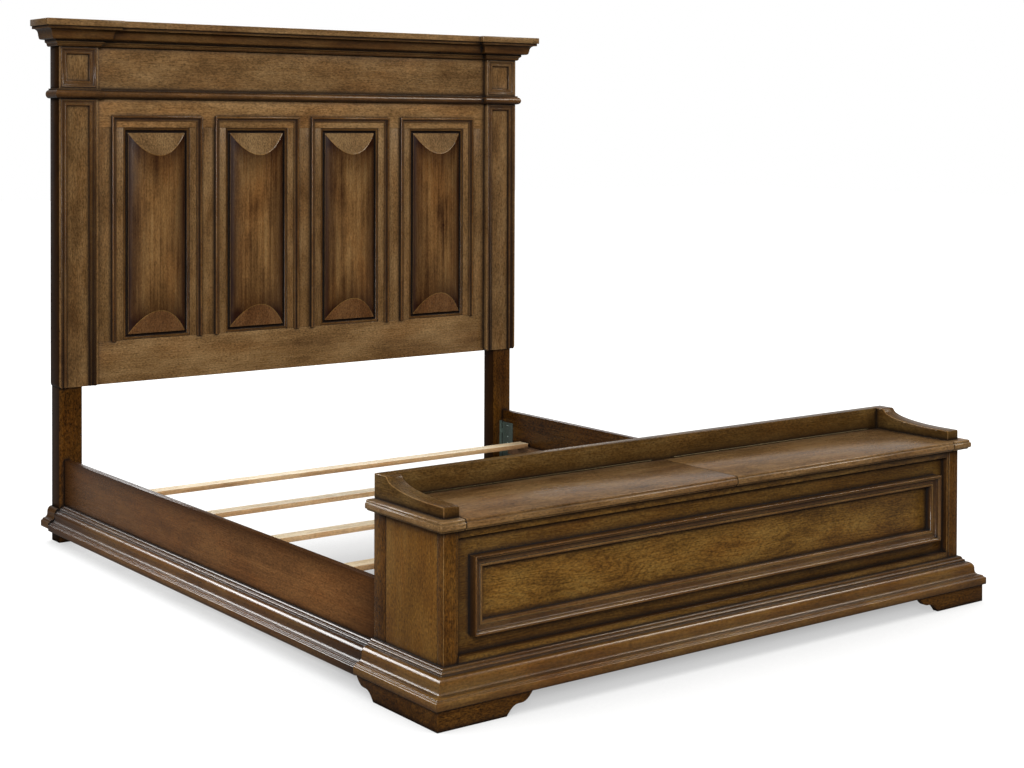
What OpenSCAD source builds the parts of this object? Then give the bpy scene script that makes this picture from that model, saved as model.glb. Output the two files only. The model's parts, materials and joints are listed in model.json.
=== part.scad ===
// Panel bed whose footboard is a blanket chest with two hinged lids.
// X runs across the bed, Y from the chest to the headboard, Z up; the origin
// is on the floor under the middle of the bed. All sizes are in millimetres.

/* [Bed] */
// Width over the side rails and over the chest's body
bed_w = 2000; // [1500:10:2100]
// Clear length between the chest's back and the headboard's legs
clear_l = 2100; // [1950:10:2250]
// Height of the side rails' top edges
rail_top = 300; // [280:5:340]
// Height of the side rails' lower edges
rail_bottom = 52; // [51:1:60]
// Thickness of the side rails
rail_t = 22; // [20:1:28]
// Height of the slats' top faces, which carry the mattress set
slat_top = 183; // [170:1:200]

/* [Slats] */
// Number of slats
slat_count = 5; // [4:1:8]
// Width of a slat
slat_w = 57; // [50:1:80]
// Thickness of a slat
slat_t = 17; // [15:1:22]
// From the chest's back to the middle of the first slat
slat_foot_in = 117; // [110:1:160]
// From the headboard's legs to the middle of the last slat
slat_head_in = 163; // [120:1:200]
// Width of the ledger strip under the slats' ends
ledger_w = 28; // [22:1:34]
// Height of the ledger strip
ledger_h = 40; // [30:1:50]
// Shank radius of the wood screws
screw_r = 2; // [1.5:0.1:2.5]

/* [Headboard] */
// Overall height of the headboard
head_h = 1896; // [1750:1:2000]
// Leg width across the bed
leg_w = 88; // [80:1:95]
// Leg depth, front to back
leg_d = 68; // [60:1:80]
// How far the legs stand outside the rails
leg_out = 18; // [12:1:24]
// Width of the pilaster in front of each leg
pilaster_w = 150; // [140:1:170]
// Thickness of the pilaster, which is how far it stands in front of the panels
pilaster_t = 22; // [20:1:26]
// Thickness of the pilaster's cheek on the leg's outer side
cheek_t = 8; // [6:1:12]
// Strip of the leg that the cheek leaves bare at the back
cheek_bare = 9; // [4:1:20]
// Depth of the recesses in the pilaster
recess_d = 12; // [8:1:14]
// Height of the lower edge of the pilasters and of the panel frame
frame_bottom = 563; // [500:1:620]
// Height of the frame's bottom rail
bottom_rail_h = 157; // [130:1:190]
// Height of the frame's top rail, up to the middle of the bead band
top_rail_h = 122; // [110:1:150]
// Thickness of the panel frame
frame_t = 28; // [24:1:32]
// Width of the mullions between the raised panels
mullion_w = 152; // [140:1:170]
// Width of the edge stiles that shows beside the pilasters
edge_w = 108; // [100:1:130]
// Number of raised panels
panel_count = 4; // [3:1:5]

/* [Raised panels] */
// Gap from the frame's opening to the raised field
field_gap = 20; // [18:1:24]
// Rise of the barrel-shaped field over its own edges
field_rise = 30; // [20:1:36]
// Length of the slope at the top and bottom of the field
field_slope = 84; // [60:1:110]
// Thickness of the tongue round the field
tongue_t = 8; // [6:1:9]
// Depth of the tongue in its grooves
tongue_in = 8; // [6:1:10]

/* [Cornice] */
// Projection of the cap over the pilasters
cap_p = 73; // [71:1:90]
// Thickness of the cap
cap_t = 24; // [20:1:30]
// Height of the crown moulding under the cap
crown_h = 72; // [66:1:84]
// From the top of the headboard to the middle of the bead band
bead_drop = 266; // [250:1:290]
// Height of the bead band
bead_h = 36; // [30:1:42]
// Projection of the bead band
bead_p = 18; // [14:1:22]

/* [Chest] */
// Depth of the chest's body, front to back
chest_d = 328; // [300:1:420]
// Height of the chest's body under its lids
chest_h = 487; // [440:1:540]
// Width of the front posts
post_w = 48; // [44:1:60]
// Depth of the front posts
post_d = 30; // [26:1:36]
// Width of the rear posts along the chest's ends
rear_post_d = 57; // [50:1:70]
// Thickness of the rear posts across the bed
rear_post_w = 50; // [46:1:56]
// Thickness of the end panels
end_t = 22; // [18:1:26]
// Setback of the front board behind the posts
front_set = 22; // [18:1:24]
// Thickness of the front board
front_t = 18; // [15:1:22]
// Height of the rail under the lids
chest_rail_h = 25; // [20:1:34]
// Height of the sill's top edge
sill_top = 160; // [150:1:175]
// Thickness of the back board
back_t = 22; // [16:1:24]
// Thickness of the bottom board
bottom_t = 12; // [10:1:18]
// Height of the bottom board's underside
bottom_z = 110; // [70:1:130]
// Thickness of the divider between the two compartments
divider_t = 18; // [15:1:22]

/* [Chest panel moulding] */
// From the front posts to the moulding
frame_side_in = 44; // [36:1:60]
// From the sill's top edge to the moulding
frame_low_in = 45; // [36:1:60]
// From the rail under the lids to the moulding
frame_top_in = 50; // [40:1:70]
// Width of the moulding
frame_mould_w = 34; // [30:1:42]
// How far the moulding stands in front of the board behind it
frame_mould_p = 34; // [28:1:38]

/* [Chest top] */
// Thickness of the lids and of the fixed top ends
lid_t = 30; // [26:1:34]
// Overhang of the top at the front and the ends
lid_over = 30; // [24:1:36]
// Gap round the lids
lid_gap = 3; // [2:0.5:4]
// Width of the fixed top ends over the chest's body
top_end_w = 49.5; // [46:0.5:60]
// Height of the gallery at the back
gallery_h = 67; // [55:1:80]
// Height of the gallery at the front of its ends
gallery_low = 30; // [24:1:40]
// Thickness of the gallery's back board
gallery_t = 30; // [24:1:34]
// Length of the gallery ends' high part at the back
gallery_flat = 54; // [46:1:80]

/* [Hinges] */
// Outer radius of a hinge knuckle
knuckle_r = 2.6; // [2.2:0.1:3.2]
// Length of a hinge knuckle
knuckle_l = 12.5; // [10:0.5:20]
// Radius of the hinge pins
pin_r = 1.2; // [0.8:0.1:1.5]
// Thickness of a hinge leaf
leaf_t = 1.2; // [1:0.1:1.6]
// Height of a hinge leaf
leaf_h = 24; // [18:1:28]
// From a lid's end to the end of its hinge
hinge_in = 36; // [20:1:60]

/* [Base] */
// Height of the chest's feet
foot_h = 54; // [45:1:60]
// Height of the chest's base moulding
base_h = 88; // [80:1:95]
// Projection of the chest's base moulding
base_p = 65; // [60:1:75]
// Setback of the feet behind the base moulding
foot_in = 8; // [5:1:12]
// Thickness of the feet's boards
foot_t = 20; // [16:1:24]
// Length on the floor of a foot's front board
foot_front_l = 216; // [180:1:260]
// Length of the scroll at the end of a foot
scroll_l = 86; // [60:1:110]
// Height of the base moulding on the side rails
rail_base_h = 86; // [80:1:90]
// Projection of the base moulding on the side rails and the legs
rail_base_p = 60; // [54:1:70]
// Height of the lower edge of the rails' base moulding
rail_base_z = 49; // [44:1:50]
// Height of the lower edge of the legs' base moulding
leg_base_z = 56; // [52:1:60]

/* [Rail brackets] */
// Height of a bracket plate
bracket_h = 150; // [130:1:170]
// Length of a bracket plate along the rail
bracket_l = 68; // [55:1:80]
// Thickness of the bracket steel
bracket_t = 2.5; // [2:0.1:3]
// Height of the lower edge of a bracket
bracket_z = 101; // [95:1:110]

/* [Hidden] */
$fn = 48;
side = bed_w / 2;
clear = 0.3;

// Levels and planes; the chest's front is at Y 0 until the part is centred
leg_front = chest_d + clear_l;
leg_back = leg_front + leg_d;
centre_y = (leg_back - base_p) / 2;
leg_outer = side + leg_out;
leg_inner = leg_outer - leg_w;
pil_outer = leg_outer + cheek_t;
pil_inner = pil_outer - pilaster_w;
pil_mid = (pil_outer + pil_inner) / 2;
pil_front = leg_front - pilaster_t;
cap_z = head_h - cap_t;
crown_z = cap_z - crown_h;
bead_z = head_h - bead_drop;
crown_in = 7;

// Raised panels
opening_z = frame_bottom + bottom_rail_h;
opening_h = bead_z - top_rail_h - opening_z;
opening_w = (2 * pil_inner - 2 * edge_w - (panel_count - 1) * mullion_w) / panel_count;
opening_pitch = opening_w + mullion_w;
panel_x = [for (i = [0:panel_count - 1]) (i - (panel_count - 1) / 2) * opening_pitch];
field_w = opening_w - 2 * field_gap;
field_h = opening_h - 2 * field_gap;
field_r = (pow(field_w / 2, 2) + pow(field_rise, 2)) / (2 * field_rise);
field_set = 3;
tongue_set = 14;
tongue_y = leg_front + tongue_set;
bead_strip_w = 12;
bead_strip_set = 2;
strip_w = 20;
strip_p = 12;
strip_side = 28;
strip_rise = 23;
strip_drop = 2;

// Pilaster recesses
recess_edge = 7.5;
recess_w = pilaster_w - 2 * recess_edge;
recess_mould_w = 25;
recess_mould_p = recess_d + 2;
corner_r = 14;
past = 1;
square_low = 4;
square_high = 2;
tall_high = 1;
square_z = bead_z + bead_h / 2 + square_low;
square_h = crown_z - square_high - square_z;
tall_h = bead_z - bead_h / 2 - tall_high - frame_bottom;

// Chest
post_in = side - post_w;
board_y = front_set;
lid_z = chest_h + clear;
top_z = chest_h + lid_t;
top_in = side - top_end_w;
gallery_y = chest_d - gallery_t;
knuckle_room = 0.4;
hinge_lift = 1;
hinge_gap = knuckle_r + knuckle_room;
hinge_y = gallery_y - hinge_gap;
hinge_z = top_z + hinge_lift;
lid_back = hinge_y - hinge_gap;
lid_x0 = lid_gap / 2;
lid_x1 = top_in - lid_gap;
hinge_l = lid_x1 - lid_x0 - 2 * hinge_in;
knuckles = 2 * floor((hinge_l / knuckle_l - 1) / 2) + 1;
hinge_x0 = (lid_x0 + lid_x1 - knuckles * knuckle_l) / 2;
pin_play = 0.05;
foot_p = base_p - foot_in;
groove = 3;
post_step = [8, 3];
glue_lift = 3;

// Rails, ledgers and brackets
rail_in = side - rail_t;
slat_z = slat_top - slat_t;
slat_short = 5;
slat_end = rail_in - slat_short;
slat_pitch = (clear_l - slat_foot_in - slat_head_in) / (slat_count - 1);
bracket_in = 7;
ledger_gap = 3;
ledger_in = bracket_in + bracket_l + ledger_gap;
screw_x = rail_in - ledger_w / 2;
screw_play = 0.1;
screw_head_r = 4;
screw_head_h = 2.5;
screw_head_in = 1.5;
screw_tip = 1;
keeper_w = 24;
keeper_t = 3;
keeper_over = 5;
hook_l = 14;
hook_h = 18;
hook_drop = 6;
hook_room = 1;
hook_neck = keeper_t + 0.5;
hook_at = [0.12, 0.68];
bracket_screw_at = [0.1, 0.42, 0.6, 0.92];

SLATS = [for (i = [1:slat_count]) str("slat_", i)];
PANELS = [for (i = [1:panel_count]) str("raised_panel_", i)];

WALNUT = [0.42, 0.29, 0.17];
WALNUT_DARK = [0.33, 0.22, 0.12];
WALNUT_LIGHT = [0.48, 0.34, 0.21];
PINE = [0.86, 0.76, 0.58];
ZINC = [0.66, 0.69, 0.70];
BRONZE = [0.36, 0.31, 0.22];

// ---- Profiles: lists of [distance out from the wall, height], anticlockwise ----

// Arc of an ellipse round a centre, from angle a to angle b in steps
function arc(centre, radii, a, b, steps = 6) =
    [for (i = [0:steps]) let (t = a + (b - a) * i / steps)
        [centre.x + radii.x * cos(t), centre.y + radii.y * sin(t)]];

// Base moulding: fascia, ledge, a big ogee, then a fillet and a quarter round on top
function base_profile(p, h, z) =
    let (u = p / 65, v = h / 88)
    concat(
        [[0, z], [p - 2 * u, z], [p, z + 2 * v]],
        arc([p - 3 * u, z + 20 * v], [3 * u, 3 * v], 0, 75, 3),
        [[58.5 * u, z + 25 * v], [57.5 * u, z + 28.5 * v]],
        arc([51.5 * u, z + 45 * v], [12.5 * u, 14.5 * v], 270, 186, 6),
        arc([21 * u, z + 50 * v], [18 * u, 20.5 * v], -6, 90, 8),
        [[18 * u, z + 71.5 * v], [18 * u, z + 75.5 * v], [16.5 * u, z + 77.5 * v]],
        arc([4.5 * u, z + 79 * v], [7.5 * u, 9 * v], 0, 90, 4),
        [[0, z + h]]);

// Crown moulding: small cove, fillet, ogee and a square fillet under the cap
function crown_profile(p, h, z) =
    let (u = p / 66, v = h / 72)
    concat(
        [[0, z], [3 * u, z]],
        arc([3 * u, z + 7 * v], [7 * u, 7 * v], 290, 360, 4),
        [[11 * u, z + 11 * v], [18 * u, z + 16 * v], [18 * u, z + 24 * v], [33 * u, z + 25 * v]],
        arc([33 * u, z + 35 * v], [8 * u, 10 * v], 285, 360, 5),
        arc([56 * u, z + 39 * v], [13.5 * u, 22 * v], 180, 97, 7),
        [[56 * u, z + 62 * v], [p, z + 62 * v], [p, z + h], [0, z + h]]);

// Bead band: a flattened half round with a small fillet on top
function bead_profile(p, h, z) =
    concat(
        [[0, z]],
        arc([p * 0.3, z + h * 0.44], [p * 0.7, h * 0.42], -84, 84, 12),
        [[p * 0.36, z + h * 0.9], [p * 0.45, z + h], [0, z + h]]);

// Picture-frame moulding round a recess: high outer lip, hollow and a bead inside
function sunk_profile(w, p) =
    let (lip = 2.5)
    concat(
        [[0, 0], [w, 0]],
        arc([w - lip, p - lip], [lip, lip], 0, 130, 4),
        [[w * 0.78, p * 0.84], [w * 0.72, p * 0.84]],
        arc([w * 0.42, p * 0.86], [w * 0.3, p * 0.34], 350, 250, 5),
        [[w * 0.3, p * 0.5], [w * 0.26, p * 0.58]],
        arc([w * 0.15, p * 0.36], [w * 0.15, p * 0.24], 60, 180, 5));

// Strip round a raised panel: square outer edge, bead and a hollow down to the frame
function strip_profile(w, p) =
    let (lip = [4, 3])
    concat(
        [[0, 0], [w, 0]],
        arc([w - lip.x, p - lip.y], lip, 0, 150, 5),
        [[w * 0.55, p * 0.72]],
        arc([w * 0.3, p * 0.8], [w * 0.26, p * 0.56], 340, 250, 4),
        [[0, p * 0.25]]);

// Small sloping bead inside a panel's opening; distance is inward from the opening
function inset_profile(w, p) =
    concat(
        [[-w, 0], [0, 0], [0, p]],
        [[-w * 0.2, p]],
        arc([-w * 0.35, p * 0.42], [w * 0.6, p * 0.48], 80, 170, 5));

// ---- Tools that draw with the profiles ----

// Over 0 where the way from a through b to c turns left
function turn(a, b, c) = (b.x - a.x) * (c.y - a.y) - (b.y - a.y) * (c.x - a.x);

// Whether q lies in the triangle a, b, c or on its edges
function holds(q, a, b, c) = turn(a, b, q) >= 0 && turn(b, c, q) >= 0 && turn(c, a, q) >= 0;

// First corner, of those still left, that can be cut off without crossing the outline
function free_corner(shape, left, i = 0) =
    let (n = len(left), a = left[(i + n - 1) % n], b = left[i], c = left[(i + 1) % n],
        blocked = [for (k = left)
            if (k != a && k != b && k != c && holds(shape[k], shape[a], shape[b], shape[c])) k])
    i == n - 1 || (turn(shape[a], shape[b], shape[c]) > 0 && len(blocked) == 0)
        ? i : free_corner(shape, left, i + 1);

// Triangles that fill an outline, cut off one corner at a time
function triangles(shape, left) =
    let (n = len(left), i = free_corner(shape, left))
    n == 3 ? [left]
        : concat([[left[(i + n - 1) % n], left[i], left[(i + 1) % n]]],
                 triangles(shape, [for (k = [0:n - 1]) if (k != i) left[k]]));

// Sweeps a closed profile along corners [point, direction], mitred at each one, with
// the profile's points at tenths of a millimetre so that neighbouring faces meet
module run(outline, corners, closed = false) {
    profile = [for (q = outline) [round(q.x * 10) / 10, round(q.y * 10) / 10]];
    n = len(profile);
    m = len(corners);
    spans = closed ? m : m - 1;
    points = [for (c = corners) for (q = profile)
        [c[0].x + q.x * c[1].x, c[0].y + q.x * c[1].y, q.y]];
    sides = [for (j = [0:spans - 1]) for (i = [0:n - 1])
        let (k = (j + 1) % m, l = (i + 1) % n) [j * n + i, j * n + l, k * n + l, k * n + i]];
    fill = closed ? [] : triangles(profile, [for (i = [0:n - 1]) i]);
    first = [for (t = fill) [t[2], t[1], t[0]]];
    last = [for (t = fill) [for (i = t) (m - 1) * n + i]];
    polyhedron(points, concat(sides, first, last));
}

// Moulding round a rectangle on the XZ plane, its inner edge w by h, facing -Y
module picture_frame(profile, w, h) {
    rotate([90, 0, 0])
        run(profile, [[[-w / 2, 0], [-1, -1]], [[w / 2, 0], [1, -1]],
                      [[w / 2, h], [1, 1]], [[-w / 2, h], [-1, 1]]], true);
}

// The same with an open lower end: top and two sides only
module picture_arch(profile, w, h) {
    rotate([90, 0, 0])
        run(profile, [[[w / 2, 0], [1, 0]], [[w / 2, h], [1, 1]],
                      [[-w / 2, h], [-1, 1]], [[-w / 2, 0], [-1, 0]]]);
}

// Box from one corner to the opposite one
module block(a, b) {
    translate(a)
        cube(b - a);
}

// Draws a left piece as modelled, or its mirror image on the right
module on_side(right) {
    translate([0, -centre_y, 0])
        mirror([right ? 1 : 0, 0, 0])
            children();
}

module on_both_sides() {
    on_side(false)
        children();
    on_side(true)
        children();
}

module centred() {
    translate([0, -centre_y, 0])
        children();
}

// Plan of the headboard's face, which breaks forward over both pilasters
function headboard_plan(back) =
    [[[-pil_outer, back], [-1, 0]],
     [[-pil_outer, pil_front], [-1, -1]],
     [[-pil_inner, pil_front], [1, -1]],
     [[-pil_inner, leg_front], [1, -1]],
     [[pil_inner, leg_front], [-1, -1]],
     [[pil_inner, pil_front], [-1, -1]],
     [[pil_outer, pil_front], [1, -1]],
     [[pil_outer, back], [1, 0]]];

// ---- Headboard ----

// Slots for a bracket's hooks, tall enough to lift them in, from a depth below their necks
module hook_slots(low, play) {
    for (at = hook_at)
        translate([-play, -play, bracket_z + at * bracket_h - low - play])
            cube([bracket_t + 2 * play, hook_l + 2 * play, low + hook_h + hook_drop + 2 * play]);
}

// Body of the keeper plate, and its seat, which is cut from a little outside the face
module keeper_block(outside = 0) {
    translate([bracket_t / 2 - keeper_w / 2, -outside, bracket_z - keeper_over])
        cube([keeper_w, keeper_t + outside, bracket_h + 2 * keeper_over]);
}

// Puts what is drawn for a bracket at the rail's inner face, at the headboard's end
module at_head() {
    translate([-rail_in, leg_front, 0])
        children();
}

// The same at the chest's end, facing the other way
module at_chest() {
    translate([-rail_in, chest_d, 0])
        mirror([0, 1, 0])
            children();
}

// At both ends of a rail
module at_each_end() {
    at_head()
        children();
    at_chest()
        children();
}

module headboard_leg() {
    color(WALNUT_DARK)
        difference() {
            block([-leg_outer, leg_front, 0], [-leg_inner, leg_back, cap_z]);
            at_head() {
                hook_slots(hook_drop, hook_room);
                keeper_block(past);
            }
        }
}

// Outline of the pilaster's board from the front, its lower corners rounded
module pilaster_outline() {
    polygon(concat(
        [[-pil_inner, cap_z], [-pil_outer, cap_z]],
        arc([-pil_outer + corner_r, frame_bottom + corner_r], [corner_r, corner_r], 180, 270),
        arc([-pil_inner - corner_r, frame_bottom + corner_r], [corner_r, corner_r], 270, 360)));
}

// Front board with two recesses, and the cheek on the leg's outer side
module pilaster() {
    color(WALNUT)
        difference() {
            union() {
                translate([0, leg_front, 0])
                    rotate([90, 0, 0])
                        linear_extrude(pilaster_t)
                            pilaster_outline();
                translate([0, leg_back - cheek_bare, 0])
                    rotate([90, 0, 0])
                        linear_extrude(leg_d - cheek_bare)
                            intersection() {
                                pilaster_outline();
                                translate([-pil_outer, frame_bottom])
                                    square([cheek_t, cap_z - frame_bottom]);
                            }
            }
            block([-pil_mid - recess_w / 2, pil_front - past, square_z],
                  [-pil_mid + recess_w / 2, pil_front + recess_d, square_z + square_h]);
            block([-pil_mid - recess_w / 2, pil_front - past, frame_bottom - past],
                  [-pil_mid + recess_w / 2, pil_front + recess_d, frame_bottom + tall_h]);
        }
}

// Mouldings in the pilaster's recesses; the tall one has no lower member
module pilaster_moulding_pair() {
    inner_w = recess_w - 2 * recess_mould_w;
    color(WALNUT_LIGHT)
        translate([-pil_mid, pil_front + recess_d, 0]) {
            translate([0, 0, square_z + recess_mould_w])
                picture_frame(sunk_profile(recess_mould_w, recess_mould_p), inner_w,
                              square_h - 2 * recess_mould_w);
            translate([0, 0, frame_bottom + tall_high])
                picture_arch(sunk_profile(recess_mould_w, recess_mould_p), inner_w,
                             tall_h - recess_mould_w - tall_high);
        }
}

module cornice_cap() {
    color(WALNUT)
        centred()
            translate([0, 0, cap_z])
                linear_extrude(cap_t)
                    polygon([for (c = headboard_plan(leg_back)) c[0] + cap_p * c[1]]);
}

module cornice_crown() {
    color(WALNUT_DARK)
        centred()
            run(crown_profile(cap_p - crown_in, crown_h, crown_z), headboard_plan(leg_back));
}

module frieze_board() {
    color(WALNUT)
        centred()
            block([-leg_inner, leg_front, bead_z], [leg_inner, leg_front + frame_t, cap_z]);
}

module bead_band() {
    color(WALNUT_LIGHT)
        centred()
            run(bead_profile(bead_p, bead_h, bead_z - bead_h / 2),
                headboard_plan(leg_back - cheek_bare));
}

// Grooves round the openings, for the panels' tongues
module tongue_grooves() {
    for (x = panel_x)
        block([x - opening_w / 2 - tongue_in - clear, tongue_y - clear, opening_z - tongue_in - clear],
              [x + opening_w / 2 + tongue_in + clear, tongue_y + tongue_t + clear,
               opening_z + opening_h + tongue_in + clear]);
}

module headboard_top_rail() {
    color(WALNUT)
        centred()
            difference() {
                block([-leg_inner, leg_front, opening_z + opening_h],
                      [leg_inner, leg_front + frame_t, bead_z]);
                tongue_grooves();
            }
}

module headboard_bottom_rail() {
    color(WALNUT)
        centred()
            difference() {
                block([-leg_inner, leg_front, frame_bottom],
                      [leg_inner, leg_front + frame_t, opening_z]);
                tongue_grooves();
            }
}

// Two edge stiles, which run behind the pilasters, and the mullions
module headboard_stiles() {
    color(WALNUT)
        centred()
            difference() {
                for (i = [0:panel_count]) {
                    x0 = i == 0 ? -leg_inner : panel_x[i - 1] + opening_w / 2;
                    x1 = i == panel_count ? leg_inner : panel_x[i] - opening_w / 2;
                    block([x0, leg_front, opening_z], [x1, leg_front + frame_t, opening_z + opening_h]);
                }
                tongue_grooves();
            }
}

// Barrel-shaped field with sloping ends, on a flat tongue
module raised_panel(i) {
    field_y = leg_front + field_set;
    slope_y = field_y - field_rise;
    color(WALNUT_LIGHT)
        centred()
            translate([panel_x[i], 0, opening_z]) {
                block([-opening_w / 2 - tongue_in, tongue_y, -tongue_in],
                      [opening_w / 2 + tongue_in, tongue_y + tongue_t, opening_h + tongue_in]);
                translate([0, 0, field_gap])
                    intersection() {
                        translate([0, slope_y + field_r, 0])
                            cylinder(r = field_r, h = field_h, $fn = 180);
                        rotate([90, 0, 90])
                            translate([0, 0, -field_w / 2])
                                linear_extrude(field_w)
                                    polygon([[tongue_y + past, 0], [tongue_y + past, field_h],
                                             [field_y, field_h], [slope_y, field_h - field_slope],
                                             [slope_y, field_slope], [field_y, 0]]);
                    }
            }
}

module panel_mouldings() {
    color(WALNUT_LIGHT)
        centred()
            for (x = panel_x)
                translate([x, leg_front, opening_z - strip_drop])
                    picture_arch(strip_profile(strip_w, strip_p), opening_w + 2 * strip_side,
                                 opening_h + strip_rise + strip_drop);
}

module panel_beads() {
    color(WALNUT)
        centred()
            for (x = panel_x)
                translate([x, tongue_y, opening_z])
                    picture_frame(inset_profile(bead_strip_w, tongue_set - bead_strip_set),
                                  opening_w, opening_h);
}

// ---- Rails and slats ----

module side_rail() {
    color(WALNUT)
        difference() {
            block([-side, chest_d, rail_bottom], [-rail_in, leg_front, rail_top]);
            at_each_end()
                bracket_screw_holes(screw_r + screw_play);
        }
}

module rail_moulding() {
    color(WALNUT_LIGHT)
        translate([-side, chest_d, 0])
            rotate([90, 0, 180])
                linear_extrude(clear_l)
                    polygon(base_profile(rail_base_p, rail_base_h, rail_base_z));
}

// The rail's moulding carried on round the leg, cut to fit its outer side
module leg_mouldings() {
    color(WALNUT_LIGHT)
        on_both_sides()
            translate([-side, leg_front, 0])
                rotate([90, 0, 180])
                    linear_extrude(leg_d)
                        difference() {
                            polygon(base_profile(rail_base_p, base_h, leg_base_z));
                            translate([-past, 0])
                                square([leg_out + past, rail_top]);
                        }
}

function slat_y(i) = chest_d + slat_foot_in + i * slat_pitch;

module slat_ledgers() {
    color(WALNUT_DARK)
        on_both_sides()
            difference() {
                block([-rail_in, chest_d + ledger_in, slat_z - ledger_h],
                      [-rail_in + ledger_w, leg_front - ledger_in, slat_z]);
                for (i = [0:slat_count - 1])
                    translate([-screw_x, slat_y(i), slat_z - ledger_h / 2])
                        cylinder(r = screw_r + screw_play, h = ledger_h);
            }
}

module slat(i) {
    color(PINE)
        centred()
            difference() {
                block([-slat_end, slat_y(i) - slat_w / 2, slat_z],
                      [slat_end, slat_y(i) + slat_w / 2, slat_top]);
                for (x = [-screw_x, screw_x])
                    translate([x, slat_y(i), slat_z - past]) {
                        cylinder(r = screw_r + screw_play, h = slat_t + 2 * past);
                        translate([0, 0, slat_t + past - screw_head_h - screw_play])
                            cylinder(r = screw_head_r + screw_play, h = screw_head_h + past);
                    }
            }
}

// Hooked plate: a rectangle on the rail and two hooks that reach past its end
module rail_bracket() {
    rotate([90, 0, 90])
        linear_extrude(bracket_t)
            polygon(concat(
                [[-bracket_in - bracket_l, bracket_z + bracket_h], [-bracket_in - bracket_l, bracket_z],
                 [-bracket_in, bracket_z]],
                [for (at = hook_at) let (z = bracket_z + at * bracket_h) each
                    [[-bracket_in, z], [hook_neck, z], [hook_neck, z - hook_drop],
                     [hook_l, z - hook_drop], [hook_l, z + hook_h], [-bracket_in, z + hook_h]]],
                [[-bracket_in, bracket_z + bracket_h]]));
}

module bracket_screw_holes(r) {
    for (at = bracket_screw_at)
        translate([-rail_t / 2, -bracket_in - bracket_l / 2, bracket_z + at * bracket_h])
            rotate([0, 90, 0])
                cylinder(r = r, h = rail_t);
}

module rail_brackets() {
    color(ZINC)
        on_both_sides()
            at_each_end()
                difference() {
                    rail_bracket();
                    bracket_screw_holes(screw_r + screw_play);
                }
}

// Slotted plate let into the leg and the rear post, which the hooks drop into
module bracket_keepers() {
    color(ZINC)
        on_both_sides()
            at_each_end()
                difference() {
                    keeper_block();
                    hook_slots(0, clear);
                }
}

// Pan-head screws through the brackets and countersunk ones through the slats
module wood_screws() {
    color(ZINC)
        on_both_sides() {
            at_each_end()
                for (at = bracket_screw_at)
                    translate([0, -bracket_in - bracket_l / 2, bracket_z + at * bracket_h])
                        rotate([0, 90, 0]) {
                            translate([0, 0, screw_tip - rail_t / 2])
                                cylinder(r = screw_r, h = rail_t / 2 + bracket_t - screw_tip);
                            translate([0, 0, bracket_t])
                                cylinder(r1 = screw_head_r, r2 = screw_head_r - screw_head_in,
                                         h = screw_head_h);
                        }
            for (i = [0:slat_count - 1])
                translate([-screw_x, slat_y(i), slat_top]) {
                    translate([0, 0, screw_tip - slat_t - ledger_h / 2])
                        cylinder(r = screw_r, h = slat_t + ledger_h / 2 - screw_tip - screw_head_h);
                    translate([0, 0, -screw_head_h])
                        cylinder(r = screw_head_r, h = screw_head_h);
                }
        }
}

// ---- Chest ----

module chest_front_post() {
    color(WALNUT)
        translate([0, 0, foot_h])
            linear_extrude(chest_h - foot_h)
                polygon([[-side, 0], [-post_in - post_step.x, 0], [-post_in - post_step.x, post_step.y],
                         [-post_in, post_step.y], [-post_in, post_d], [-side + groove, post_d],
                         [-side, post_d - groove]]);
}

module chest_rear_post() {
    color(WALNUT)
        difference() {
            translate([0, 0, foot_h])
                linear_extrude(chest_h - foot_h)
                    polygon([[-side, chest_d - rear_post_d + groove], [-side + groove, chest_d - rear_post_d],
                             [-side + rear_post_w, chest_d - rear_post_d], [-side + rear_post_w, chest_d],
                             [-side, chest_d]]);
            at_chest() {
                hook_slots(hook_drop, hook_room);
                keeper_block(past);
            }
        }
}

module chest_end_panel() {
    y0 = post_d;
    y1 = chest_d - rear_post_d;
    color(WALNUT)
        translate([0, 0, foot_h])
            linear_extrude(chest_h - foot_h)
                polygon([[-side, y0 + groove], [-side + groove, y0], [-side + end_t, y0],
                         [-side + end_t, y1], [-side + groove, y1], [-side, y1 - groove]]);
}

module chest_front_board() {
    color(WALNUT)
        centred()
            block([-post_in, board_y, foot_h], [post_in, board_y + front_t, chest_h]);
}

module chest_top_rail() {
    color(WALNUT)
        centred()
            block([-post_in, post_step.y, chest_h - chest_rail_h], [post_in, board_y, chest_h]);
}

module chest_sill() {
    round = 2;
    color(WALNUT)
        centred()
            rotate([90, 0, 90])
                translate([0, 0, -post_in])
                    linear_extrude(2 * post_in)
                        polygon(concat([[board_y, sill_top], [board_y, foot_h], [0, foot_h]],
                                       arc([round, sill_top - round], [-round, round], 0, 90, 4)));
}

module chest_panel_moulding() {
    outer_w = 2 * (post_in - frame_side_in);
    outer_h = chest_h - chest_rail_h - frame_top_in - sill_top - frame_low_in;
    color(WALNUT_LIGHT)
        centred()
            translate([0, board_y, sill_top + frame_low_in + frame_mould_w])
                picture_frame(sunk_profile(frame_mould_w, frame_mould_p),
                              outer_w - 2 * frame_mould_w, outer_h - 2 * frame_mould_w);
}

module chest_back() {
    color(WALNUT_DARK)
        centred()
            block([-side + rear_post_w, chest_d - back_t, foot_h], [side - rear_post_w, chest_d, chest_h]);
}

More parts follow.
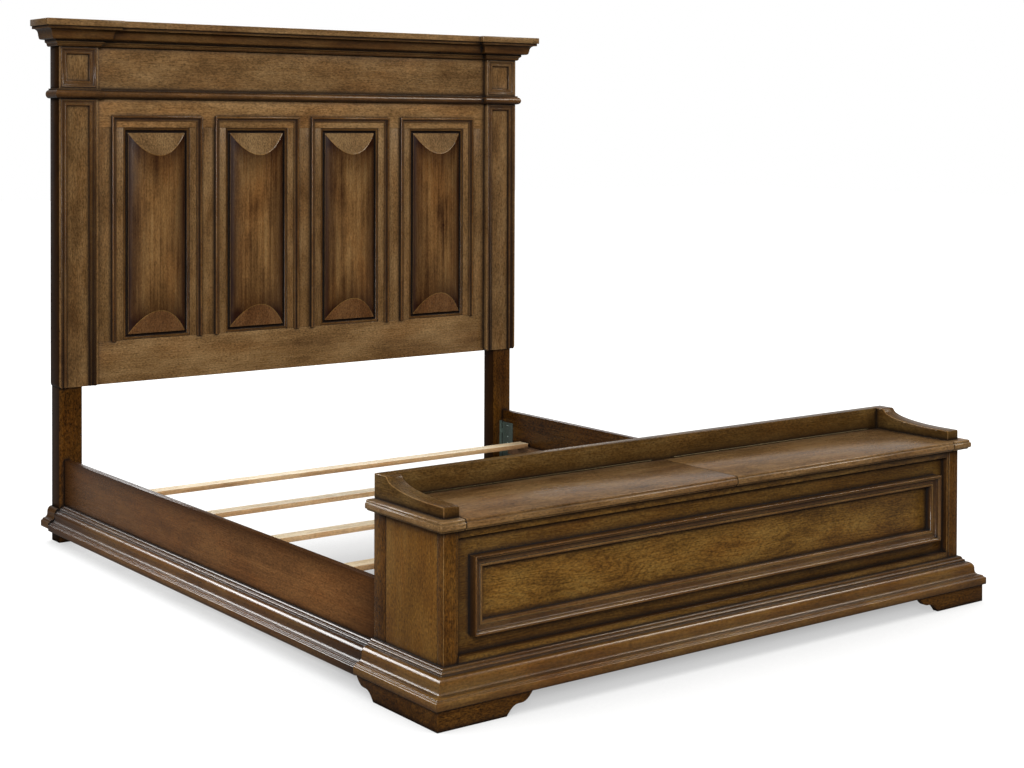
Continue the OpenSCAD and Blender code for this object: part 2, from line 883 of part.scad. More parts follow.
// Notched round the posts
module chest_bottom() {
    wide = side - end_t;
    narrow = side - rear_post_w;
    color(PINE)
        centred()
            translate([0, 0, bottom_z])
                linear_extrude(bottom_t)
                    polygon([[-post_in, post_d], [-wide, post_d], [-wide, chest_d - rear_post_d],
                             [-narrow, chest_d - rear_post_d], [-narrow, chest_d - back_t],
                             [narrow, chest_d - back_t], [narrow, chest_d - rear_post_d],
                             [wide, chest_d - rear_post_d], [wide, post_d], [post_in, post_d],
                             [post_in, board_y + front_t], [-post_in, board_y + front_t]]);
}

module chest_divider() {
    color(PINE)
        centred()
            block([-divider_t / 2, board_y + front_t, bottom_z + bottom_t],
                  [divider_t / 2, chest_d - back_t, chest_h]);
}

// Outline of the top's edge: a round above a small step, a flat face, a cove below
function edge_profile(reach, depth) =
    let (t = lid_t / 30)
    concat([[depth, 0]],
           arc([-reach + 1.5 * t, 0], [6 * t, 6 * t], 0, 90, 4),
           [[-reach, 7.5 * t], [-reach, 19.5 * t], [-reach + t, 21 * t], [-reach + 3 * t, 21.5 * t]],
           arc([-reach + 8 * t, 25 * t], [4.5 * t, 5 * t], 210, 90, 6),
           [[depth, lid_t]]);

// Fixed end of the top, moulded on its front and outer edges with a mitred corner
module chest_top_end() {
    color(WALNUT)
        intersection() {
            translate([-side, 0, chest_h])
                rotate([90, 0, 90])
                    translate([0, 0, -lid_over])
                        linear_extrude(top_end_w + lid_over)
                            polygon(edge_profile(lid_over, chest_d));
            translate([-side, chest_d, chest_h])
                rotate([90, 0, 0])
                    linear_extrude(chest_d + lid_over)
                        polygon(edge_profile(lid_over, top_end_w));
        }
}

module gallery_back() {
    round = 3;
    color(WALNUT)
        centred()
            rotate([90, 0, 90])
                translate([0, 0, -top_in])
                    linear_extrude(2 * top_in)
                        polygon(concat(
                            [[chest_d, chest_h], [chest_d, top_z + gallery_h]],
                            arc([gallery_y + round, top_z + gallery_h - round], [round, round], 90, 180, 4),
                            [[gallery_y, chest_h]]));
}

// High at the back, then a small nose and a long hollow down to the low front
module gallery_end() {
    nose = 9;
    round = 4;
    sweep_y = gallery_low * 2;
    sweep_top = gallery_h - round;
    nose_y = chest_d - gallery_flat;
    color(WALNUT)
        translate([-side, 0, top_z])
            rotate([90, 0, 90])
                linear_extrude(top_end_w)
                    polygon(concat(
                        [[chest_d, 0], [chest_d, gallery_h]],
                        arc([nose_y, gallery_h - nose], [nose, nose], 90, 153, 4),
                        arc([sweep_y, sweep_top], [nose_y - nose - sweep_y, sweep_top - gallery_low], 350, 270, 14),
                        arc([round, gallery_low - round], [round, round], 90, 180, 4),
                        [[0, 0]]));
}

module lid() {
    color(WALNUT)
        translate([-lid_x1, 0, lid_z])
            rotate([90, 0, 90])
                linear_extrude(lid_x1 - lid_x0)
                    intersection() {
                        polygon(edge_profile(lid_over, lid_back));
                        translate([-lid_over, 0])
                            square([lid_over + lid_back, lid_t - clear]);
                    }
}

// One leaf with every second knuckle, in the plane across the pin's line
module hinge_leaf(first) {
    end_play = 0.15;
    web = knuckle_r + clear;
    difference() {
        union() {
            block([-hinge_x0 - knuckles * knuckle_l, hinge_gap - leaf_t, -leaf_h], [-hinge_x0, hinge_gap, -web]);
            for (i = [first:2:knuckles - 1])
                translate([-hinge_x0 - (i + 1) * knuckle_l + end_play, 0, 0]) {
                    rotate([0, 90, 0])
                        cylinder(r = knuckle_r, h = knuckle_l - 2 * end_play);
                    block([0, hinge_gap - leaf_t, -web - past], [knuckle_l - 2 * end_play, hinge_gap, 0]);
                }
        }
        translate([-hinge_x0 - knuckles * knuckle_l - past, 0, 0])
            rotate([0, 90, 0])
                cylinder(r = pin_r + pin_play, h = knuckles * knuckle_l + 2 * past);
    }
}

module hinge_fixed_leaves() {
    color(BRONZE)
        on_both_sides()
            translate([0, hinge_y, hinge_z])
                hinge_leaf(0);
}

module hinge_lid_leaf() {
    color(BRONZE)
        translate([0, hinge_y, hinge_z])
            mirror([0, 1, 0])
                hinge_leaf(1);
}

module hinge_pins() {
    color(BRONZE)
        on_both_sides()
            translate([-hinge_x0 - knuckles * knuckle_l, hinge_y, hinge_z])
                rotate([0, 90, 0])
                    cylinder(r = pin_r, h = knuckles * knuckle_l);
}

module chest_base_moulding() {
    color(WALNUT_LIGHT)
        centred()
            run(base_profile(base_p, base_h, foot_h),
                [[[-side, chest_d], [-1, 0]], [[-side, 0], [-1, -1]],
                 [[side, 0], [1, -1]], [[side, chest_d], [1, 0]]]);
}

// Outline of a foot's board: flat on the floor, then a scroll up to the moulding
function foot_outline(l) =
    concat([[0, foot_h], [0, 0]],
           [for (i = [0:14]) let (t = i / 14)
               [l + scroll_l * t, foot_h * (t + sin(360 * t) / (2 * PI))]]);

// Two boards mitred at the corner, with a glue block behind them
module front_foot() {
    corner = side + foot_p;
    side_l = chest_d + foot_p - scroll_l;
    block_w = foot_p - foot_t;
    color(WALNUT_DARK)
        union() {
            translate([-corner, foot_t - foot_p, 0])
                rotate([90, 0, 0])
                    linear_extrude(foot_t)
                        polygon(foot_outline(foot_front_l));
            translate([-corner, -foot_p, 0])
                rotate([90, 0, 90])
                    linear_extrude(foot_t)
                        polygon(foot_outline(side_l));
            block([-corner + foot_t - past, -block_w - past, glue_lift],
                  [-side + post_d, post_d, foot_h]);
        }
}

// ---- Nodes ----

on_side(false) headboard_leg();  // headboard_leg_left
on_side(true) headboard_leg();  // headboard_leg_right
on_side(false) pilaster();  // pilaster_left
on_side(true) pilaster();  // pilaster_right
on_both_sides() pilaster_moulding_pair();  // pilaster_mouldings
cornice_cap();
cornice_crown();
frieze_board();
bead_band();
headboard_top_rail();
headboard_bottom_rail();
headboard_stiles();
for (i = [0:panel_count - 1])
    raised_panel(i);
panel_mouldings();
panel_beads();
on_side(false) side_rail();  // side_rail_left
on_side(true) side_rail();  // side_rail_right
on_side(false) rail_moulding();  // rail_moulding_left
on_side(true) rail_moulding();  // rail_moulding_right
leg_mouldings();
slat_ledgers();
rail_brackets();
bracket_keepers();
wood_screws();
for (i = [0:slat_count - 1])
    slat(i);
on_side(false) chest_front_post();  // chest_front_post_left
on_side(true) chest_front_post();  // chest_front_post_right
on_side(false) chest_rear_post();  // chest_rear_post_left
on_side(true) chest_rear_post();  // chest_rear_post_right
on_side(false) chest_end_panel();  // chest_end_panel_left
on_side(true) chest_end_panel();  // chest_end_panel_right
chest_front_board();
chest_top_rail();
chest_sill();
chest_panel_moulding();
chest_back();
chest_bottom();
chest_divider();
on_side(false) chest_top_end();  // chest_top_end_left
on_side(true) chest_top_end();  // chest_top_end_right
gallery_back();
on_side(false) gallery_end();  // gallery_end_left
on_side(true) gallery_end();  // gallery_end_right
on_side(false) lid();  // lid_left
on_side(true) lid();  // lid_right
hinge_fixed_leaves();
hinge_pins();
on_side(false) hinge_lid_leaf();  // hinge_lid_leaf_left
on_side(true) hinge_lid_leaf();  // hinge_lid_leaf_right
chest_base_moulding();
on_side(false) front_foot();  // front_foot_left
on_side(true) front_foot();  // front_foot_right
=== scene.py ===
import json
import math
import random

import bmesh
import bpy
import numpy as np
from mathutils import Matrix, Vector

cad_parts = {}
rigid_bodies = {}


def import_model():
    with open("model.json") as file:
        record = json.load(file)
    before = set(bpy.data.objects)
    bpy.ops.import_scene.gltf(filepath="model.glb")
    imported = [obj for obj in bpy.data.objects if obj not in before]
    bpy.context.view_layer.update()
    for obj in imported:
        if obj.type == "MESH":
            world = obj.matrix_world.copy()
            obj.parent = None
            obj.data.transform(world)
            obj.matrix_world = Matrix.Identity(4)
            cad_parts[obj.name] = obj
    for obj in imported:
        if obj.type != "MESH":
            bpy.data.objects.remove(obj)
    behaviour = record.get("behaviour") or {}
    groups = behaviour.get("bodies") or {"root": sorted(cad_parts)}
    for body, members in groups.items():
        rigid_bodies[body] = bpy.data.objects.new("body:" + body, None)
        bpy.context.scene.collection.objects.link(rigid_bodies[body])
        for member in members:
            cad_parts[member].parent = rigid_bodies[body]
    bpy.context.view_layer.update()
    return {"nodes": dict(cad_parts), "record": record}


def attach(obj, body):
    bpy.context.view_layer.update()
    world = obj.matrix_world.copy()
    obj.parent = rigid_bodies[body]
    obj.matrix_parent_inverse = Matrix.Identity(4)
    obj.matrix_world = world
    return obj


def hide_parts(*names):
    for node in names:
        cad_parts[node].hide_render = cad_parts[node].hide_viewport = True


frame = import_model()

# ---- Headboard legs --------------------------------------------------------
# Square hardwood posts, stained dark brown and lacquered, that run from the floor up
# behind the pilasters to the cornice. Every wooden piece of the bed has the finish that is
# made here: stain, a near-black glaze in the hollows that is partly painted shade, painted
# shade beside the mouldings and on undersides, and satin lacquer.


class Value:
    """A socket in a tree of nodes, with Python's operators."""

    def __init__(self, nodes, socket):
        self.nodes = nodes
        self.socket = socket

    def maths(self, operation, *others, clamp=False):
        settings = {"operation": operation, "use_clamp": clamp}
        values = dict(enumerate((self,) + others))
        return self.nodes.node("ShaderNodeMath", settings, values)

    def __add__(self, other):
        return self.maths("ADD", other)

    __radd__ = __add__

    def __mul__(self, other):
        return self.maths("MULTIPLY", other)

    __rmul__ = __mul__

    def __sub__(self, other):
        return self.maths("SUBTRACT", other)

    def __rsub__(self, other):
        return (self * -1) + other

    def __pow__(self, other):
        return self.maths("POWER", other)

    def between(self, low, high):
        """0 at low and below, 1 at high and above."""
        return (self * (1 / (high - low))).maths("ADD", -low / (high - low), clamp=True)


class Nodes:
    """A tree of nodes, built one by one, and the shader in it that they feed."""

    def __init__(self, tree, shader=None):
        self.tree = tree
        self.shader = shader and tree.nodes[shader]

    def node(self, kind, settings, values, output=0):
        """Adds a node, sets it, fills its sockets, and gives back one of its outputs."""
        made = self.tree.nodes.new(kind)
        for key, setting in settings.items():
            setattr(made, key, setting)
        for key, value in values.items():
            for source in value if isinstance(value, list) else [value]:
                if isinstance(source, Value):
                    self.tree.links.new(source.socket, made.inputs[key])
                else:
                    made.inputs[key].default_value = source
        return Value(self, made.outputs[output])

    def part(self, vector, axis):
        """The x, y or z of a vector, for axis 0, 1 or 2."""
        return self.node("ShaderNodeSeparateXYZ", {}, {"Vector": vector}, axis)

    def blend(self, amount, first, second, how="MIX"):
        settings = {"data_type": "RGBA", "blend_type": how}
        return self.node("ShaderNodeMix", settings, {0: amount, 6: first, 7: second}, 2)

    def surface(self, **values):
        for key, value in values.items():
            socket = self.shader.inputs[key.replace("_", " ")]
            if isinstance(value, Value):
                self.tree.links.new(value.socket, socket)
            else:
                socket.default_value = value


class Finish(Nodes):
    """A material."""

    def __init__(self, name):
        self.material = bpy.data.materials.new(name)
        self.material.use_nodes = True
        super().__init__(self.material.node_tree, "Principled BSDF")

    def noise(self, place, along, across, detail=2.0, roughness=0.5):
        """Noise with that many features a metre along the grain and across it."""
        scale = {0: place, 1: (along, across, across)}
        values = {
            "Vector": self.node("ShaderNodeVectorMath", {"operation": "MULTIPLY"}, scale),
            "Scale": 1.0,
            "Detail": detail,
            "Roughness": roughness,
        }
        return self.node("ShaderNodeTexNoise", {}, values)

    def openness(self, reach):
        """From 0 in a deep hollow to 1 where nothing stands within reach."""
        return self.node("ShaderNodeAmbientOcclusion", {"samples": 6}, {"Distance": reach}, 1)


def stain(red, green, blue):
    """A colour as seen on the wood, from 0 to 255, made linear."""
    return tuple(((c / 255 + 0.055) / 1.055) ** 2.4 for c in (red, green, blue)) + (1,)


board_tone = 0.12
tone_range = 0.42
redder = (1.0, 0.8, 0.6, 1)
pore_filler = stain(34, 20, 9)
glaze_and_shade_colour = stain(14, 6, 1)
ring_width = 0.0075
shading_reach = 0.06
glaze_and_shade_reach = 0.014


def stained_wood(
    name, dark, middle, light,
    red=0.5, clouds=1.15, streaks=0.35, flecks=3.0, figure=0.0,
    shaded=0.2, burst=(0, 0.3, 0.4), glaze_and_shade=0.9, full_hollow=0.42, under=0.2,
    rough=0.26, lustre=0.25, relief=1.0,
):
    """Wood stained between three colours.

    red, clouds, streaks, flecks and figure are the strengths of those patterns. shaded darkens
    the wood beside mouldings, and under darkens undersides: both are painted shade.
    glaze_and_shade darkens hollows near-black, a glazing that is partly painted shade, and
    full_hollow is how deep a hollow is that takes all of it. burst darkens a
    board's edges, a darker stain that is partly painted shade: how much, then where on the way
    to its sides and to its ends that starts.
    rough and lustre are the lacquer's, and relief is how open the grain feels.
    """
    wood = Finish(name)
    place = wood.node("ShaderNodeAttribute", {"attribute_name": "grain"}, {}, 1)
    board = wood.node("ShaderNodeAttribute", {"attribute_name": "board"}, {}, 2)

    # Fibres, flecks and pores, fine and even
    fibre = wood.noise(place, 14, 420, detail=3.0, roughness=0.6)
    fleck = wood.noise(place, 105, 230, detail=3.0, roughness=0.7)
    pores = wood.noise(place, 70, 1500, detail=1.0).between(0.62, 0.74)

    # Streaks, and the soft cloudiness that stain and lacquer bring out
    streak = wood.noise(place, 1.3, 55, detail=3.0, roughness=0.6)
    cloud = wood.noise(place, 4.5, 11, detail=4.0, roughness=0.6)
    tone = streak * streaks + cloud * clouds + board * board_tone
    middle_tone = (streaks + clouds + board_tone) * 0.5

    if figure:
        # Growth rings, cut at a slant so that they close in arches along the board
        wander = wood.noise(place, 1.6, 5, detail=2.0) - 0.5
        sway = wood.noise(place, 6, 22, detail=4.0) - 0.5
        side = wood.part(place, 1) + sway * 0.04
        below = wood.part(place, 2) + 0.05 + wander * 0.22
        radius = (below * below + side * side) ** 0.5
        rings = (radius * (2 * math.pi / ring_width) + sway * 9).maths("SINE") * 0.5 + 0.5
        late_wood = rings * rings * rings
        tone = tone - late_wood * (0.4 * figure)
        middle_tone -= 0.12 * figure

    taken_up = tone.between(middle_tone - tone_range, middle_tone + tone_range)
    colour = wood.blend(taken_up.between(0.0, 0.5), dark, middle)
    colour = wood.blend(taken_up.between(0.5, 1.0), colour, light)
    redness = wood.noise(place, 3.2, 9, detail=3.0, roughness=0.55).between(0.46, 0.68)
    colour = wood.blend(redness * red, colour, redder, "MULTIPLY")
    speckle = (fleck - 0.5) * flecks + (fibre - 0.5) * 0.8 + 1
    speckled = {0: colour, "Scale": speckle}
    colour = wood.node("ShaderNodeVectorMath", {"operation": "SCALE"}, speckled)
    colour = wood.blend(pores * 0.3, colour, pore_filler)

    edge_stain_and_shade, from_side, from_end = burst
    if edge_stain_and_shade:
        # Darker towards the sides and ends of a board: a darker stain, partly painted shade
        spread = wood.node("ShaderNodeAttribute", {"attribute_name": "spread"}, {}, 1)
        to_end = wood.part(spread, 0).maths("ABSOLUTE").between(from_end, 1.0)
        to_side = wood.part(spread, 1).maths("ABSOLUTE").between(from_side, 1.0)
        to_edge = to_side.maths("MAXIMUM", to_end)
        to_edge = (to_edge + (cloud - 0.5) * 0.8) * to_edge
        colour = wood.blend(to_edge * edge_stain_and_shade, colour, dark)

    # Painted shade beside the mouldings and on undersides; glaze and painted shade in hollows
    beside = 1 - wood.openness(shading_reach)
    hollow = 1 - wood.openness(glaze_and_shade_reach)
    glazed_and_shaded = hollow.between(0.06, full_hollow)
    colour = wood.blend(beside.between(0.05, 0.45) * shaded, colour, dark)
    colour = wood.blend(glazed_and_shaded * glaze_and_shade, colour, glaze_and_shade_colour)
    facing = wood.node("ShaderNodeTexCoord", {}, {}, "Normal")
    underside = (wood.part(facing, 2) * -1).between(-0.1, 0.7)
    colour = wood.blend(underside * under, colour, dark)

    dull = glazed_and_shaded * 0.3 + beside.between(0.15, 0.5) * 0.3
    height = fibre * 0.5 + fleck * 0.3 - pores * 0.5
    bump = {"Strength": 0.12 * relief, "Distance": 0.0004, "Height": height}
    wood.surface(
        Base_Color=colour,
        Roughness=(cloud * 0.14 + fibre * (0.08 * relief)) + (dull + (rough - 0.1)),
        Normal=wood.node("ShaderNodeBump", {}, bump),
        Specular_IOR_Level=lustre,
    )
    return wood.material


walnut_shadow = stained_wood(
    "walnut_shadow",
    stain(40, 20, 2),
    stain(72, 44, 12),
    stain(94, 62, 22),
    streaks=0.8,
    flecks=5.0,
    lustre=0.15,
)
walnut_dark = stained_wood(
    "walnut_dark", stain(26, 11, 1), stain(44, 24, 3), stain(60, 36, 6), rough=0.3, lustre=0.06
)

# Which of a mesh's axes run along the grain, across it and through the board. Each
# board's grain is cut from another place, up to the farthest shift in those directions.
along_x = (0, 2, 1)
along_y = (1, 2, 0)
along_z = (2, 0, 1)
weld = 1e-5
shortest_run = 0.025
wide_arris = 0.002
farthest_shift = (20, 0.03, 0.01)
carried_by = {
    node: body
    for body, nodes in frame["record"]["behaviour"]["bodies"].items()
    for node in nodes
}


def islands(mesh):
    """Number of the separate solid that each vertex belongs to."""
    owner = np.arange(len(mesh.vertices))
    pairs = np.array([e.vertices[:] for e in mesh.edges])
    while True:
        low = np.minimum(owner[pairs[:, 0]], owner[pairs[:, 1]])
        before = owner.copy()
        np.minimum.at(owner, pairs[:, 0], low)
        np.minimum.at(owner, pairs[:, 1], low)
        owner = owner[owner]
        if (owner == before).all():
            break
    return np.unique(owner, return_inverse=True)[1]


def lay_grain(mesh, grain, seed):
    """Gives each solid its own stretch of timber, laid along the given axes or, for a
    moulding, along the longest edge of each face."""
    place = np.empty(len(mesh.vertices) * 3)
    mesh.vertices.foreach_get("co", place)
    place = place.reshape(-1, 3)
    solid = islands(mesh)
    solids = range(solid.max() + 1)
    low = np.array([place[solid == k].min(0) for k in solids])
    high = np.array([place[solid == k].max(0) for k in solids])
    centre = (low + high) / 2
    half = (high - low) / 2
    chance = random.Random(seed)
    tones = [chance.random() for _ in solids]
    shifts = [[chance.uniform(-far, far) for far in farthest_shift] for _ in solids]
    laid = np.empty((len(mesh.loops), 3))
    spread = np.empty((len(mesh.loops), 3))
    tone = np.empty(len(mesh.loops))
    for face in mesh.polygons:
        at = place[list(face.vertices)]
        order = grain
        if grain is None:
            edges = np.abs(np.roll(at, -1, axis=0) - at)
            longest = edges[edges.sum(1).argmax()]
            order = (along_x, along_y, along_z)[int(longest.argmax())]
        k = solid[face.vertices[0]]
        loops = list(face.loop_indices)
        laid[loops] = (at - centre[k])[:, order] + shifts[k]
        spread[loops] = ((at - centre[k]) / half[k])[:, order]
        tone[loops] = tones[k]
    for name, kind, field, values in (
        ("grain", "FLOAT_VECTOR", "vector", laid),
        ("spread", "FLOAT_VECTOR", "vector", spread),
        ("board", "FLOAT", "value", tone),
    ):
        mesh.attributes.new(name, kind, "CORNER").data.foreach_set(field, values.ravel())


def plain_mesh(piece):
    """Applies the piece's modifiers."""
    depsgraph = bpy.context.evaluated_depsgraph_get()
    made = bpy.data.meshes.new_from_object(piece.evaluated_get(depsgraph))
    piece.modifiers.clear()
    piece.data = made


def wooden(node, material, grain=None, arris=0.0012, smooth=32, worn=None, eased_over=38):
    """The node's solids in the given finish, with their grain laid. Edges that turn more
    than eased_over degrees are eased and take the worn finish, if one is
    given: wear with a painted highlight. A moulding is given no grain axes, and its
    shortest edges stay crisp."""
    shape = bmesh.new()
    shape.from_mesh(frame["nodes"][node].data)
    bmesh.ops.remove_doubles(shape, verts=shape.verts, dist=weld)
    bmesh.ops.dissolve_limit(
        shape, angle_limit=math.radians(0.4), verts=shape.verts, edges=shape.edges
    )
    eased = shape.edges.layers.float.new("bevel_weight_edge")
    for edge in shape.edges:
        crisp = grain is None and edge.calc_length() < shortest_run
        edge[eased] = float(not crisp and edge.calc_face_angle(0) > math.radians(eased_over))
    mesh = bpy.data.meshes.new(node + "_finished")
    shape.to_mesh(mesh)
    shape.free()
    piece = bpy.data.objects.new(node + "_finished", mesh)
    bpy.context.scene.collection.objects.link(piece)
    easing = piece.modifiers.new("eased", "BEVEL")
    easing.width = arris
    easing.segments = 2
    easing.limit_method = "WEIGHT"
    mesh.materials.append(material)
    if worn:
        mesh.materials.append(worn)
        easing.material = 1
    plain_mesh(piece)
    lay_grain(piece.data, grain, node)
    piece.data.shade_smooth()
    piece.data.set_sharp_from_angle(angle=math.radians(smooth))
    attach(piece, carried_by[node])
    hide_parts(node)
    return piece


def restain(piece, finish, chosen):
    """Gives another finish to the faces whose middle and normal pass the test."""
    piece.data.materials.append(finish)
    for face in piece.data.polygons:
        if chosen(face.center, face.normal):
            face.material_index = len(piece.data.materials) - 1


for side in ("left", "right"):
    leg = wooden("headboard_leg_" + side, walnut_shadow, along_z, arris=wide_arris)
    restain(leg, walnut_dark, lambda at, normal: abs(normal.x) > 0.6)

# ---- Pilasters -------------------------------------------------------------
# A board with two sunk panels stands in front of each leg, with a cheek on the leg's
# outer side. Small mitred mouldings line the recesses.

walnut = stained_wood(
    "walnut", stain(58, 35, 13), stain(112, 84, 51), stain(142, 113, 75), red=0.4
)


def moulding_finish(name, dark, middle, light, **more):
    """Stained wood sanded smooth, finer flecked, with full glazing and painted shade in hollows."""
    return stained_wood(
        name, dark, middle, light, **{"flecks": 2.0, "glaze_and_shade": 1.0, "relief": 0.02, **more}
    )


walnut_moulding = moulding_finish(
    "walnut_moulding",
    stain(34, 16, 2),
    stain(95, 63, 28),
    stain(122, 89, 45),
    red=0.25,
    shaded=0.9,
    full_hollow=0.26,
    under=0.8,
    rough=0.3,
    lustre=0.45,
)
# Paler stain on eased edges: wear, and a painted highlight along each arris.
walnut_worn = moulding_finish(
    "walnut_worn",
    stain(68, 44, 18),
    stain(122, 91, 50),
    stain(146, 116, 72),
    shaded=0.6,
    rough=0.22,
    lustre=0.4,
)
fine_arris = 0.0008
leg_side = max(abs(v.co.x) for v in frame["nodes"]["headboard_leg_left"].data.vertices)


def on_cheek(at, normal):
    """Outside the leg, and not facing forward."""
    return abs(at.x) > leg_side + 0.0005 and normal.y > -0.5


for side in ("left", "right"):
    restain(wooden("pilaster_" + side, walnut, along_z), walnut_dark, on_cheek)
wooden("pilaster_mouldings", walnut_moulding, arris=fine_arris, worn=walnut_worn)

# ---- Cornice, frieze and bead band -----------------------------------------
# The crown moulding and its cap break forward over both pilasters. The frieze is one
# wide board, and a half-round band covers its lower edge and wraps the pilasters.

# Darker than the other mouldings: painted shade on the crown, which faces down, and low round the
# legs.
walnut_crown = moulding_finish(
    "walnut_crown",
    stain(24, 10, 1),
    stain(82, 54, 24),
    stain(116, 86, 48),
    shaded=1.0,
    full_hollow=0.32,
    rough=0.24,
)
wooden("cornice_cap", walnut, along_x, arris=wide_arris, worn=walnut_worn)
wooden("cornice_crown", walnut_crown, arris=fine_arris, worn=walnut_worn)
wooden("frieze_board", walnut, along_x)
wooden("bead_band", walnut_moulding, arris=fine_arris, worn=walnut_worn)

# ---- Panel frame and raised panels -----------------------------------------
# Rails and stiles hold four thick panels that are planed to a barrel shape, with a flat
# slope cut across each end. Applied strips frame each opening, and beads line it.

walnut_panel = stained_wood(
    "walnut_panel",
    stain(36, 14, 2),
    stain(118, 85, 48),
    stain(146, 114, 71),
    red=0.55,
    streaks=1.15,
    shaded=0.9,
    flecks=2.0,
    burst=(1.6, 0.1, 0.2),
    lustre=0.18,
)
# The panels' end slopes: the upper one paler and greyer, painted light from above; the lower one
# darker and redder, painted shade.
walnut_top_slope = stained_wood(
    "walnut_top_slope",
    stain(74, 50, 26),
    stain(114, 88, 56),
    stain(132, 106, 72),
    red=0.2,
    rough=0.5,
    lustre=0.06,
)
walnut_foot_slope = stained_wood(
    "walnut_foot_slope", stain(60, 34, 14), stain(104, 70, 40), stain(120, 86, 52), red=0.4
)
# A paler top rail: painted light that lifts the shadow cast by the bead band above.
walnut_top_rail = stained_wood(
    "walnut_top_rail", stain(72, 46, 20), stain(132, 100, 62), stain(160, 128, 86), glaze_and_shade=0.7
)
# Darker beads: painted shade down in the recesses round the panels.
walnut_bead = moulding_finish(
    "walnut_bead",
    stain(20, 8, 1),
    stain(88, 60, 28),
    stain(116, 86, 48),
    shaded=1.0,
    relief=0.03,
)
wooden("headboard_top_rail", walnut_top_rail, along_x, arris=fine_arris)
wooden("headboard_bottom_rail", walnut, along_x, arris=fine_arris)
wooden("headboard_stiles", walnut, along_z, arris=fine_arris)
for number in range(1, 5):
    panel = wooden(
        "raised_panel_%d" % number, walnut_panel, along_z, smooth=8, worn=walnut_worn, eased_over=7
    )
    # Faces of the end slopes take those finishes: painted light above, painted shade below.
    panel.data.materials.append(walnut_top_slope)
    panel.data.materials.append(walnut_foot_slope)
    for face in panel.data.polygons:
        if face.material_index == 0 and face.normal.y < -0.5 and abs(face.normal.z) > 0.05:
            face.material_index = 2 if face.normal.z > 0 else 3
wooden("panel_mouldings", walnut_moulding, arris=fine_arris, worn=walnut_worn)
wooden("panel_beads", walnut_bead, arris=0.0006)

# ---- Side rails ------------------------------------------------------------
# Wide boards hooked between the chest and the legs, with the chest's base moulding
# carried along their outer sides and on round the legs.

walnut_rail = stained_wood(
    "walnut_rail",
    stain(44, 22, 6),
    stain(124, 83, 45),
    stain(148, 107, 62),
    clouds=0.6,
    shaded=0.5,
    flecks=2.4,
    burst=(0.8, 0.35, 0.7),
    lustre=0.18,
)
walnut_rail_moulding = moulding_finish(
    "walnut_rail_moulding",
    stain(30, 14, 2),
    stain(94, 62, 28),
    stain(122, 90, 48),
    shaded=0.9,
    burst=(0.9, 0.5, 0.1),
    full_hollow=0.2,
    under=0.8,
    lustre=0.45,
)
for side in ("left", "right"):
    rail = wooden("side_rail_" + side, walnut_rail, along_y, arris=wide_arris)
    restain(rail, walnut_shadow, lambda at, normal: normal.x * at.x < -0.5 * abs(at.x))
    wooden("rail_moulding_" + side, walnut_rail_moulding, arris=fine_arris)
# The leg mouldings take the crown's darker finish: painted shade low by the floor.
wooden("leg_mouldings", walnut_crown, arris=fine_arris)

# ---- Slats -----------------------------------------------------------------
# Planed softwood slats, unfinished, screwed to stained ledger strips inside the rails.
# Their sawn edges are browner than their faces.

ledger_wood = stained_wood(
    "ledger_wood", stain(56, 36, 18), stain(86, 60, 36), stain(104, 76, 48), glaze_and_shade=0.4, rough=0.5
)
pine = stained_wood(
    "pine",
    stain(186, 160, 122),
    stain(214, 196, 164),
    stain(230, 216, 190),
    red=0.2,
    flecks=0.7,
    glaze_and_shade=0.1,
    rough=0.6,
)
pine_edge = stained_wood(
    "pine_edge",
    stain(128, 92, 58),
    stain(184, 148, 106),
    stain(212, 182, 142),
    streaks=0.9,
    flecks=1.2,
    glaze_and_shade=0.4,
    rough=0.6,
)
wooden("slat_ledgers", ledger_wood, along_y)
for number in range(1, 6):
    slat = wooden("slat_%d" % number, pine, along_x, arris=0.0015)
    restain(slat, pine_edge, lambda at, normal: abs(normal.y) > 0.5)

# ---- Rail brackets ---------------------------------------------------------
# Pressed steel plates, zinc plated: hooked plates screwed inside the rails, and slotted
# keepers let into the legs and the chest.


def coat(nodes, finish):
    """Gives solids that keep their own mesh the given finish."""
    for node in nodes:
        frame["nodes"][node].data.materials.clear()
        frame["nodes"][node].data.materials.append(finish.material)


zinc = Finish("zinc_steel")
on_plate = zinc.node("ShaderNodeTexCoord", {}, {}, "Object")
spangle = zinc.node("ShaderNodeTexVoronoi", {}, {"Vector": on_plate, "Scale": 260.0})
zinc.surface(
    Base_Color=zinc.blend(spangle, stain(96, 112, 104), stain(146, 162, 154)),
    Roughness=spangle * 0.2 + 0.35,
    Metallic=0.85,
)
coat(("rail_brackets", "bracket_keepers"), zinc)

# ---- Screws ----------------------------------------------------------------
# Zinc-plated wood screws with a cross recess: pan heads hold the brackets to the rails,
# and flush heads hold the slats to the ledgers. One tree of nodes makes them all.

tip_share = 0.4
screw_tree = bpy.data.node_groups.new("wood_screw", "GeometryNodeTree")
screw_tree.interface.new_socket("Places", in_out="INPUT", socket_type="NodeSocketGeometry")
for label, size in (
    ("Head radius", 0.004),
    ("Crown radius", 0.0025),
    ("Head height", 0.0025),
    ("Shank radius", 0.002),
    ("Length", 0.015),
    ("Recess width", 0.0009),
    ("Recess reach", 0.0036),
    ("Recess depth", 0.0014),
):
    made = screw_tree.interface.new_socket(label, in_out="INPUT", socket_type="NodeSocketFloat")
    made.default_value = size
screw_tree.interface.new_socket("Screws", in_out="OUTPUT", socket_type="NodeSocketGeometry")

make = Nodes(screw_tree)
given = {lead.name: Value(make, lead) for lead in screw_tree.nodes.new("NodeGroupInput").outputs}


def set_at(shape, height):
    """The shape, moved along the screw's own axis."""
    offset = make.node("ShaderNodeCombineXYZ", {}, {"Z": height})
    return make.node("GeometryNodeTransform", {}, {"Geometry": shape, "Translation": offset})


